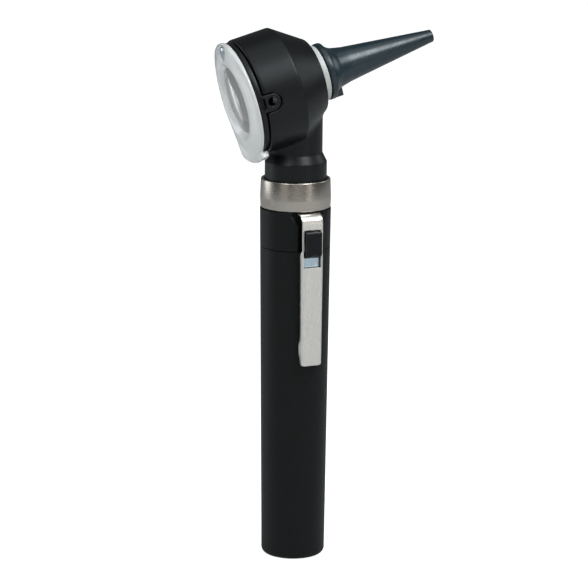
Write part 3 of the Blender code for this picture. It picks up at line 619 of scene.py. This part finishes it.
def clip_stations(low, high):
    """Stations up the clip's outer face: (outwards, up, inward normal, height)."""
    bend_z = high - CLIP_BEND_R
    heights = [low + END_ROUND * (1.0 - math.cos(math.radians(15.0 * step)))
               for step in range(7)]
    heights += list(np.linspace(low + END_ROUND + 0.4, WINDOW_Z[0] - 0.4, 54))
    heights += list(np.linspace(WINDOW_Z[0], WINDOW_Z[1], 14))
    heights += list(np.linspace(WINDOW_Z[1] + 0.4, bend_z, 7))
    stations = [((CLIP_FACE, height), (-1.0, 0.0), height) for height in heights]
    for step in range(1, 13):
        angle = math.radians(90.0 * step / 12)
        inward = (-math.cos(angle), -math.sin(angle))
        place = (CLIP_FACE - CLIP_BEND_R - CLIP_BEND_R * inward[0],
                 bend_z - CLIP_BEND_R * inward[1])
        stations.append((place, inward, place[1]))
    for step in range(1, 5):
        outwards = CLIP_FACE - CLIP_BEND_R
        outwards += (CLIP_TAB_END - outwards) * step / 4
        stations.append(((outwards, high), (0.0, -1.0), high))
    return stations


def clip_section(height, low, high):
    """The channel's outer face across the clip: (across, depth) points."""
    share = min(max((height - low) / (high - low), 0.0), 1.0)
    half = CLIP_HALF_BOTTOM + (CLIP_HALF_TOP - CLIP_HALF_BOTTOM) * share
    half += CLIP_FLANGE_OUT * (1.0 - eased(height, *FLANGE_FADE_Z))
    drop = max(END_ROUND - (height - low), 0.0)
    end_half = half - (END_ROUND - math.sqrt(max(END_ROUND ** 2 - drop ** 2, 0.0)))
    depth = 0.22 + (FLANGE_DEPTH - 0.22) * (1.0 - eased(height, *FLANGE_FADE_Z))
    heel = eased(height, HEEL_Z[0], HEEL_Z[1]) * (1.0 - eased(height, HEEL_Z[2], HEEL_Z[3]))
    depth += (HEEL_DEPTH - FLANGE_DEPTH) * heel
    corner = min(CLIP_CORNER, depth * 0.8)
    flare = 0.3 * heel
    inner = min(WINDOW_HALF, end_half - corner - 0.03)
    right = [(inner * share_in, 0.0) for share_in in (0.0, 0.5, 1.0)]
    right.append((end_half - corner, 0.0))
    right += [(end_half - corner + corner * math.sin(math.radians(angle)),
               corner * (1.0 - math.cos(math.radians(angle)))) for angle in (18, 36, 54, 72, 90)]
    right += [(end_half + flare * 0.4, corner + (depth - corner) * 0.5),
              (end_half + flare, depth)]
    left = [(-across, deep) for across, deep in reversed(right[1:])]
    return left + right


def pocket_clip():
    """The clip, bent and folded from sheet, with the switch's window."""
    low, high = extent("pocket_clip", CLIP_SIDE)
    bm = bmesh.new()
    rows = []
    stations = clip_stations(low.z, high.z)
    for (outwards, up), (inward_x, inward_z), height in stations:
        row = []
        for across, depth in clip_section(height, low.z, high.z):
            row.append(bm.verts.new((outwards + inward_x * depth, across,
                                     up + inward_z * depth)))
        rows.append(row)
    for row, (station, after) in enumerate(zip(rows, rows[1:])):
        heights = (stations[row][2], stations[row + 1][2])
        in_window = heights[0] >= WINDOW_Z[0] - 0.01 and heights[1] <= WINDOW_Z[1] + 0.01
        for index in range(len(station) - 1):
            sides = (station[index].co.y, station[index + 1].co.y)
            if in_window and max(abs(side) for side in sides) <= WINDOW_HALF + 0.01:
                continue
            bm.faces.new((station[index], station[index + 1], after[index + 1], after[index]))
    loose = [vert for vert in bm.verts if not vert.link_faces]
    bmesh.ops.delete(bm, geom=loose, context="VERTS")
    bmesh.ops.transform(bm, matrix=Matrix.Scale(MM, 4) @ CLIP_SIDE, verts=bm.verts)
    mesh = bpy.data.meshes.new("pocket_clip_skin")
    bm.to_mesh(mesh)
    bm.free()
    made = placed("pocket_clip_skin", mesh)
    sheet = made.modifiers.new("sheet", "SOLIDIFY")
    sheet.thickness = CLIP_SHEET * MM
    sheet.offset = -1.0
    apply_modifiers(made)
    bevel(made, 0.1, 2, 50.0)
    shade(made, 50.0)
    finish(made, "clip", MATERIALS["clip_steel"], "clip_steel", "pocket_clip")


def switch_button():
    """The thumb button: a wedge that stands highest along its lower edge."""
    low, high = extent("switch_button", CLIP_SIDE)
    back, face, half, face_half = 12.0, high.x, high.y, 2.6
    stud_z, stud_r = 103.9, 1.0
    corners = []
    for side in (-1.0, 1.0):
        corners += [(back, side * half, low.z), (back, side * half, high.z),
                    (CLIP_FACE + 0.1, side * half, low.z), (CLIP_FACE + 0.1, side * half, high.z),
                    (face, side * face_half, low.z + 1.0),
                    (face, side * face_half, high.z - 0.35)]
    planes = convex(corners)

    def field(place):
        place = in_axes(place, CLIP_SIDE)
        stud = rod_field(place, 0, (0.0, stud_z), stud_r, low.x, back + 0.5)
        return union(convex_field(place, planes, 0.3), stud, 0.1)

    made = remeshed("switch_button_skin", "switch_button", 0.12, field, CLIP_SIDE)
    finish(made, "switch", MATERIALS["button_black"], "button_plastic", "switch_button")


# ---------------------------------------------------------------- head

HEAD_FILLET = 0.9
NECK_R = 8.2
HEAD_WALL = 2.1
SEAT_SPIGOT_R = 6.5
FIT_GAP = 0.3
PORT_S = -14.15
PORT_V = 0.6
PORT_LUG_R = 2.65
PORT_HOLE_R = 1.38
PORT_FACE = 17.95


def head_housing():
    """Cone-fronted shell on a neck, hollow, with its edges and fillets rounded."""
    optical = vertices_mm("head_housing", OPTICAL)
    straight = vertices_mm("head_housing", ROW)
    front, bottom = optical[:, 2].max(), straight[:, 2].min()
    rear, rear_r = -16.5, 18.1
    ridge, ridge_r, front_r = -4.18, 18.24, 11.45
    plug_r, plug_top, base_r, base_top, cone_top = 8.6, 119.7, 9.6, 125.8, 128.6
    neck_top, bore_r = 146.0, 6.0
    groove = (115.8, 117.2, 7.5)

    outside = rounded([(-1.0, rear), (rear_r, rear), (ridge_r, ridge), (front_r, front),
                       (-1.0, front)], [0.0, 0.7, 0.45, 0.7, 0.0], 6, closed=True)
    neck = rounded([(-1.0, bottom), (plug_r, bottom), (plug_r, groove[0]), (groove[2], groove[0]),
                    (groove[2], groove[1]), (plug_r, groove[1]), (plug_r, plug_top),
                    (base_r, plug_top), (base_r, base_top), (NECK_R, cone_top),
                    (NECK_R, neck_top), (-1.0, neck_top)],
                   [0.0, 0.3, 0.1, 0.1, 0.1, 0.1, 0.1, 0.15, 0.25, 0.4, 0.0, 0.0], 5, closed=True)
    slope = (ridge_r - front_r) / (front - ridge)
    inner_r, inner_front = rear_r - HEAD_WALL, front - HEAD_WALL
    inner_front_r = front_r + slope * HEAD_WALL - HEAD_WALL * math.hypot(1.0, slope)
    cone_s = inner_front - (inner_r - inner_front_r) / slope
    hollow = [(-1.0, rear - 4.0), (inner_r, rear - 4.0), (inner_r, cone_s),
              (inner_front_r, inner_front), (-1.0, inner_front)]
    notch_r = PORT_LUG_R + FIT_GAP

    def field(place):
        tilted = in_axes(place, OPTICAL)
        shell = turned_field(tilted, outside)
        stem = np.maximum(turned_field(place, neck), tilted[:, 2] - (front - 0.25))
        body = union(shell, stem, HEAD_FILLET)
        void = turned_field(tilted, hollow)
        bore = np.maximum(rod_field(place, 2, (0.0, 0.0), bore_r, bottom - 2.0, neck_top),
                          tilted[:, 2] - inner_front)
        seat = rod_field(tilted, 2, (0.0, 0.0), SEAT_SPIGOT_R + FIT_GAP, 0.0, front + 3.0)
        round_end = rod_field(tilted, 1, (PORT_V, PORT_S), notch_r, 10.0, 22.0)
        slot = box_field(tilted, (PORT_V - notch_r, 10.0, rear - 4.0),
                         (PORT_V + notch_r, 22.0, PORT_S))
        void = np.minimum.reduce([void, bore, seat])
        return cut(cut(body, void, 0.25), np.minimum(round_end, slot), 0.3)

    made = remeshed("head_housing_skin", "head_housing", 0.36, field, OPTICAL)
    finish(made, "head", MATERIALS["head_black"], "head_plastic", "head_housing")


def pivot_height():
    """The pivot pin's height above the line of sight."""
    low, high = extent("lens_pivot_pin", OPTICAL)
    return 0.5 * (low.x + high.x)


def lens_bezel():
    """The bezel ring with its spigot, and the port's D-shaped lug on its side."""
    rear, shoulder, spigot = -18.4, -16.85, -12.2
    outer, spigot_r, window = 17.6, 15.7, 12.6
    seal = (12.95, 14.05)
    outline = rounded([(window, rear), (seal[0], rear), (seal[0], rear + 0.8),
                       (seal[1], rear + 0.8), (seal[1], rear), (outer, rear),
                       (outer, shoulder), (spigot_r, shoulder), (spigot_r, spigot),
                       (spigot_r - 1.6, spigot), (spigot_r - 1.6, shoulder), (window, shoulder)],
                      [0.15, 0.05, 0.05, 0.05, 0.05, 0.4, 0.2, 0.1, 0.2, 0.2, 0.2, 0.2], 5,
                      closed=True)
    pivot_v = pivot_height()

    def field(place):
        place = in_axes(place, OPTICAL)
        ring = turned_field(place, outline)
        lug = rod_field(place, 1, (PORT_V, PORT_S), PORT_LUG_R, 15.2, PORT_FACE)
        bridge = box_field(place, (PORT_V - PORT_LUG_R, 15.2, shoulder - 0.5),
                           (PORT_V + PORT_LUG_R, PORT_FACE, PORT_S))
        body = union(ring, np.minimum(lug, bridge), 0.2)
        hole = rod_field(place, 1, (PORT_V + 0.2, PORT_S), PORT_HOLE_R, 10.0, 20.0)
        slot = box_field(place, (PORT_V - 1.5, 16.4, shoulder - 0.9),
                         (PORT_V + 1.8, 20.0, shoulder + 0.4), 0.1)
        pin = rod_field(place, 2, (pivot_v, 0.0), 1.05, rear - 1.0, shoulder - 0.3)
        return cut(body, np.minimum.reduce([hole, slot, pin]), 0.3)

    made = remeshed("lens_bezel_skin", "lens_bezel", 0.25, field, OPTICAL)
    finish(made, "head", MATERIALS["bezel_black"], "bezel_plastic", "lens_bezel")


PLATE_NEAR_R = 17.75
PLATE_UP_R = 18.1
CROWN_STRETCH = 1.14
LENS_BORE_R = 10.42
LENS_BEVEL_R = 12.0


def rim_point(angle, radius, along):
    """A point on the plate's rim, by its angle in degrees from straight down."""
    turn = math.radians(angle)
    return (-radius * math.cos(turn), radius * math.sin(turn), along)


def lens_plate():
    """The clear swing plate: a crowned disc with a thumb tab, a hook and the lens's seat."""
    rear, front, wide = -21.1, -18.7, PLATE_NEAR_R
    pivot_v = pivot_height()
    crown = rounded([(-1.0, rear), (12.3, rear), (13.1, rear + 0.15), (15.0, rear + 0.75),
                     (16.6, rear + 1.3), (wide, rear + 1.85), (wide, front), (-1.0, front)],
                    [0.0, 0.8, 0.8, 2.0, 1.0, 0.3, 0.2, 0.0], 5, closed=True)
    corners = [(-8.7, -9.8, rear), (-13.8, -8.5, rear), (-18.0, -6.8, rear),
               (-19.3, -5.8, rear), (-19.8, -4.0, rear), (-13.0, -2.2, rear),
               (-8.7, 8.5, rear + 0.2), (-13.8, 8.2, rear + 0.8), (-18.3, 6.4, rear + 1.0),
               (-19.7, 4.0, rear + 0.9), (-20.2, 1.0, rear + 0.6)]
    side = [(-9.0, 12.0), (-14.5, 10.2), (-17.6, 7.6), (-19.5, 5.0), (-20.3, 2.0)]
    for along in (rear + 1.7, front):
        corners += [(up, half * near, along) for up, near in side for half in (-1.0, 1.0)]
    tab = convex(corners)
    hook = convex([rim_point(angle, radius, along) for angle in (21.0, 31.5)
                   for radius in (18.05, 19.9) for along in (front - 1.0, front + 1.3)])
    arm = convex([rim_point(angle, radius, along) for angle in (21.0, 31.5)
                  for radius in (16.5, 19.9) for along in (front - 1.0, front)])
    seat = [(-1.0, rear - 3.0), (LENS_BEVEL_R + 1.6, rear - 3.0), (LENS_BEVEL_R + 1.2, rear - 1.0),
            (LENS_BORE_R, rear + 1.3), (LENS_BORE_R, front + 3.0), (-1.0, front + 3.0)]
    squeeze = np.array([1.0 / CROWN_STRETCH, 1.0, 1.0])
    oval = [(-1.0, rear - 3.0), (wide, rear - 3.0), (wide, front + 3.0), (-1.0, front + 3.0)]
    narrow = np.array([wide / PLATE_UP_R, 1.0, 1.0])

    def field(place):
        place = in_axes(place, OPTICAL)
        plate = turned_field(place * squeeze, crown)
        plate = common(plate, turned_field(place * narrow, oval), 0.4)
        plate = union(plate, convex_field(place, tab, 0.35), 0.5)
        latch = union(convex_field(place, hook, 0.2), convex_field(place, arm, 0.2), 0.2)
        plate = union(plate, latch, 0.25)
        plate = cut(plate, turned_field(place, seat), 0.25)
        boss = np.minimum(rod_field(place, 2, (pivot_v, 0.0), 1.05, rear - 2.0, front + 2.0),
                          rod_field(place, 2, (pivot_v, 0.0), 2.35, rear - 2.0, rear + 1.3))
        return cut(plate, boss, 0.2)

    made = remeshed("lens_plate_skin", "lens_plate", 0.25, field, OPTICAL)
    finish(made, "magnifier", MATERIALS["plate_clear"], "lens_acrylic", "lens_plate")


def magnifier_lens():
    """The magnifier: flat towards the speculum, domed towards the eye."""
    high = extent("magnifier_lens", OPTICAL)[1]
    radius, edge_z, crown = LENS_BORE_R - 0.06, high.z - 0.85, 1.5
    sphere = (radius ** 2 + crown ** 2) / (2.0 * crown)
    steps = 24
    dome = []
    for step in range(steps):
        away = radius * (1.0 - step / steps)
        dome.append((away, edge_z - (math.sqrt(sphere ** 2 - away ** 2) - (sphere - crown))))
    profile = [(0.0, high.z), (radius - 0.1, high.z), (radius, high.z - 0.1)] + dome
    profile.append((0.0, edge_z - crown))
    made = meshed("magnifier_lens_skin", lathe(profile), OPTICAL)
    shade(made, 30.0)
    finish(made, "magnifier", MATERIALS["lens_clear"], "lens_acrylic", "magnifier_lens")


def speculum_seat():
    """The grey collar and the nose that the speculum pushes on to."""
    root, front = 5.9, 8.0
    outer, rim, spigot, nose_root = 8.75, 9.3, SEAT_SPIGOT_R, 4.9
    tip_s, tip_r = 22.0, 3.45
    outline = [(4.4, 1.2), (spigot, 1.2), (spigot, root), (rim, root), (rim, root + 0.4),
               (outer, root + 0.62), (outer, front), (nose_root, front), (nose_root, 11.0),
               (tip_r, tip_s), (tip_r - 0.4, tip_s), (4.4, 10.5)]
    radii = [0.1, 0.2, 0.05, 0.12, 0.15, 0.1, 0.3, 0.2, 0.5, 0.12, 0.12, 0.5]
    made = meshed("speculum_seat_skin", lathe(rounded(outline, radii, 5, closed=True)), OPTICAL)
    shade(made)
    finish(made, "head", MATERIALS["seat_grey"], "seat_plastic", "speculum_seat")


def speculum():
    """The ear cone: flange, flare, straight cone and rounded tip, with its lug."""
    base, tip = 8.3, 46.0
    flange, root, tip_r, wall, cone_s = 8.95, 5.72, 1.92, 0.8, 15.0

    def radius_at(along):
        return root + (tip_r - root) * (along - cone_s) / (tip - cone_s)

    flare = [(7.75, base + 2.5), (6.4, base + 4.3), (radius_at(cone_s + 1.5), cone_s + 1.5)]
    outside = [(5.25, base), (flange, base), (flange, base + 1.8)] + flare
    outside += [(radius_at(22.0), 22.0), (radius_at(32.0), 32.0), (radius_at(tip), tip)]
    inside = [(tip_r - 0.62, tip), (radius_at(tip - 2.5) - wall, tip - 2.5),
              (radius_at(cone_s) - wall, cone_s), (5.25, base + 3.7)]
    radii = [0.2, 0.45, 0.6, 0.8, 4.5, 9.0, 0.0, 0.0, 0.4, 0.25, 0.3, 0.3, 0.3]
    outline = rounded(outside + inside, radii, 6, closed=True)
    made = meshed("speculum_skin", lathe(outline), OPTICAL)
    lug = meshed("lug", block((-8.75, -1.6, base + 1.9), (-5.7, 1.6, base + 4.9)), OPTICAL)
    bevel(lug, 0.25, 3)
    modifier = made.modifiers.new("lug", "BOOLEAN")
    modifier.operation = "UNION"
    modifier.object = lug
    apply_modifiers(made)
    bpy.data.objects.remove(lug, do_unlink=True)
    shade(made)
    finish(made, "ear_cone", MATERIALS["speculum_blue"], "speculum_plastic", "speculum")


# ---------------------------------------------------------------- pieces that keep their CAD shape

KEPT = {
    "battery_cell_lower": "cell_can", "battery_cell_upper": "cell_can",
    "base_contact_plate": "brass", "base_contact_spring": "spring_steel",
    "return_strip": "brass", "contact_carrier": "carrier_grey",
    "upper_contact_plate": "brass", "contact_pin_spring": "spring_steel",
    "fixed_contact": "brass", "switch_detent_spring": "spring_steel",
    "centre_contact_pin": "brass", "switch_plate": "plate_steel",
    "switch_contact_bridge": "brass", "coupling_sleeve": "sleeve_nickel",
    "neck_o_ring": "rubber_black", "neck_contact_sleeve": "sleeve_nickel",
    "lamp_socket": "carrier_grey", "lamp_contact": "spring_steel", "lamp_cap": "brass",
    "lamp_bulb": "lamp_glass", "window_gasket": "rubber_black",
    "lens_pivot_pin": "spring_steel", "seat_nut": "sleeve_nickel",
    "light_guide": "fibre_white",
}


def dress_kept_nodes():
    """Materials for the pieces that keep their CAD shape."""
    for name, material in KEPT.items():
        node = nodes[name]
        node.data.materials.clear()
        node.data.materials.append(MATERIALS[material])


# ---------------------------------------------------------------- studio

VIEW_AZIMUTH = math.radians(-19.71)
VIEW_DOWN = math.radians(12.97)
VIEW_ROLL = math.radians(0.484)
VIEW_DISTANCE = 0.93416
VIEW_HEIGHT = 0.08358
VIEW_SHIFT = -0.00022      # the sight line passes this far right of the handle's axis
LENS = 183.67
SENSOR = 36.0
LIGHT_AIM_Z = 0.1          # the height that the lights face


def camera():
    """The photo's viewpoint, slightly from above."""
    sideways = Vector((math.cos(VIEW_AZIMUTH), math.sin(VIEW_AZIMUTH), 0.0))
    level = Vector((-math.sin(VIEW_AZIMUTH), math.cos(VIEW_AZIMUTH), 0.0))
    ahead = level * math.cos(VIEW_DOWN) - Vector((0.0, 0.0, math.sin(VIEW_DOWN)))
    above = sideways.cross(ahead)
    right = sideways * math.cos(VIEW_ROLL) + above * math.sin(VIEW_ROLL)
    up = above * math.cos(VIEW_ROLL) - sideways * math.sin(VIEW_ROLL)
    place = Vector((0.0, 0.0, VIEW_HEIGHT)) + right * VIEW_SHIFT - ahead * VIEW_DISTANCE
    data = bpy.data.cameras.new("camera")
    data.lens = LENS
    data.sensor_width = SENSOR
    data.clip_end = 20.0
    made = placed("camera", data)
    made.matrix_world = Matrix((
        (right.x, up.x, -ahead.x, place.x), (right.y, up.y, -ahead.y, place.y),
        (right.z, up.z, -ahead.z, place.z), (0.0, 0.0, 0.0, 1.0)))
    bpy.context.scene.camera = made


def softbox(name, azimuth, elevation, distance, width, height, power, colour):
    """An area light that faces the object. Azimuth 0 is the camera's side of it."""
    turn = math.radians(azimuth) + VIEW_AZIMUTH - math.pi / 2.0
    rise = math.radians(elevation)
    away = Vector((math.cos(turn) * math.cos(rise), math.sin(turn) * math.cos(rise),
                   math.sin(rise)))
    data = bpy.data.lights.new(name, "AREA")
    data.shape = "RECTANGLE"
    data.size, data.size_y = width, height
    data.energy = power
    data.color = colour
    made = placed(name, data)
    made.location = Vector((0.0, 0.0, LIGHT_AIM_Z)) + away * distance
    made.rotation_mode = "QUATERNION"
    made.rotation_quaternion = away.to_track_quat("Z", "Y")


def direct_rays(tree):
    """1 for rays from the camera or through clear plastic, 0 for the others."""
    ray = tree.nodes.new("ShaderNodeLightPath")
    through = tree.nodes.new("ShaderNodeMath")
    through.operation = "MAXIMUM"
    tree.links.new(ray.outputs["Is Camera Ray"], through.inputs[0])
    tree.links.new(ray.outputs["Is Transmission Ray"], through.inputs[1])
    return through.outputs[0]


def paper_floor():
    """White paper that blends into the white background, with a faint contact shadow."""
    bm = bmesh.new()
    bmesh.ops.create_grid(bm, x_segments=2, y_segments=2, size=6.0 / MM)
    floor = meshed("studio_floor", bm, Matrix.Translation((0.0, 0.0, -0.05)))
    material, tree, shader = new_material("floor_paper")
    paper = noise(tree, millimetres(tree), 0.02, 2.0)
    tree.links.new(tint(tree, paper, (0.6, 0.6, 0.6), (0.63, 0.63, 0.63)),
                   shader.inputs["Base Color"])
    shader.inputs["Roughness"].default_value = 0.9
    shader.inputs["Specular IOR Level"].default_value = 0.1
    shader.inputs["Emission Color"].default_value = (1.0, 1.0, 1.0, 1.0)
    glow = tree.nodes.new("ShaderNodeMath")
    glow.operation = "MULTIPLY"
    glow.inputs[1].default_value = FLOOR_GLOW
    tree.links.new(direct_rays(tree), glow.inputs[0])
    tree.links.new(glow.outputs[0], shader.inputs["Emission Strength"])
    floor.data.materials.append(material)


def white_room():
    """A white background for the camera, and a dim room for everything else."""
    world = bpy.data.worlds.new("studio")
    world.use_nodes = True
    tree = world.node_tree
    seen = tree.nodes["Background"]
    seen.inputs["Color"].default_value = (1.0, 1.0, 1.0, 1.0)
    seen.inputs["Strength"].default_value = 0.97
    room = tree.nodes.new("ShaderNodeBackground")
    room.inputs["Color"].default_value = (0.93, 0.98, 1.0, 1.0)
    room.inputs["Strength"].default_value = ROOM_LIGHT
    mix = tree.nodes.new("ShaderNodeMixShader")
    tree.links.new(direct_rays(tree), mix.inputs["Fac"])
    tree.links.new(room.outputs[0], mix.inputs[1])
    tree.links.new(seen.outputs[0], mix.inputs[2])
    tree.links.new(mix.outputs[0], tree.nodes["World Output"].inputs["Surface"])
    bpy.context.scene.world = world


FLOOR_GLOW = 0.84
ROOM_LIGHT = 0.12
COOL = (0.9, 0.97, 1.0)
WARM = (1.0, 0.97, 0.94)

# name, azimuth, elevation, distance, width, height, power, colour
SOFTBOXES = (
    ("front_left", -33.0, 38.0, 1.2, 0.4, 0.6, 4.6, COOL),
    ("front_right", 48.0, 48.0, 1.2, 0.45, 0.6, 9.0, COOL),
    ("low_left", -36.0, 2.0, 1.3, 0.55, 0.5, 0.42, WARM),
    ("low_front", 8.0, 2.0, 1.4, 0.8, 0.5, 0.4, WARM),
    ("low_right", 46.0, 0.0, 1.1, 0.25, 0.8, 0.72, WARM),
    ("side_left", -104.0, 8.0, 1.2, 0.5, 0.7, 3.3, COOL),
    ("rim_right", 112.0, 24.0, 1.2, 0.6, 0.45, 1.6, COOL),
    ("overhead", 0.0, 80.0, 1.2, 1.2, 1.2, 3.8, COOL),
)


def studio():
    paper_floor()
    white_room()
    bpy.context.scene.view_settings.view_transform = "Standard"
    for values in SOFTBOXES:
        softbox(*values)


# ---------------------------------------------------------------- assembly

camera()
studio()
battery_tube()
handle_ring()
collar_shell()
pocket_clip()
switch_button()
head_housing()
lens_bezel()
lens_plate()
magnifier_lens()
speculum_seat()
speculum()
dress_kept_nodes()
bpy.context.view_layer.update()
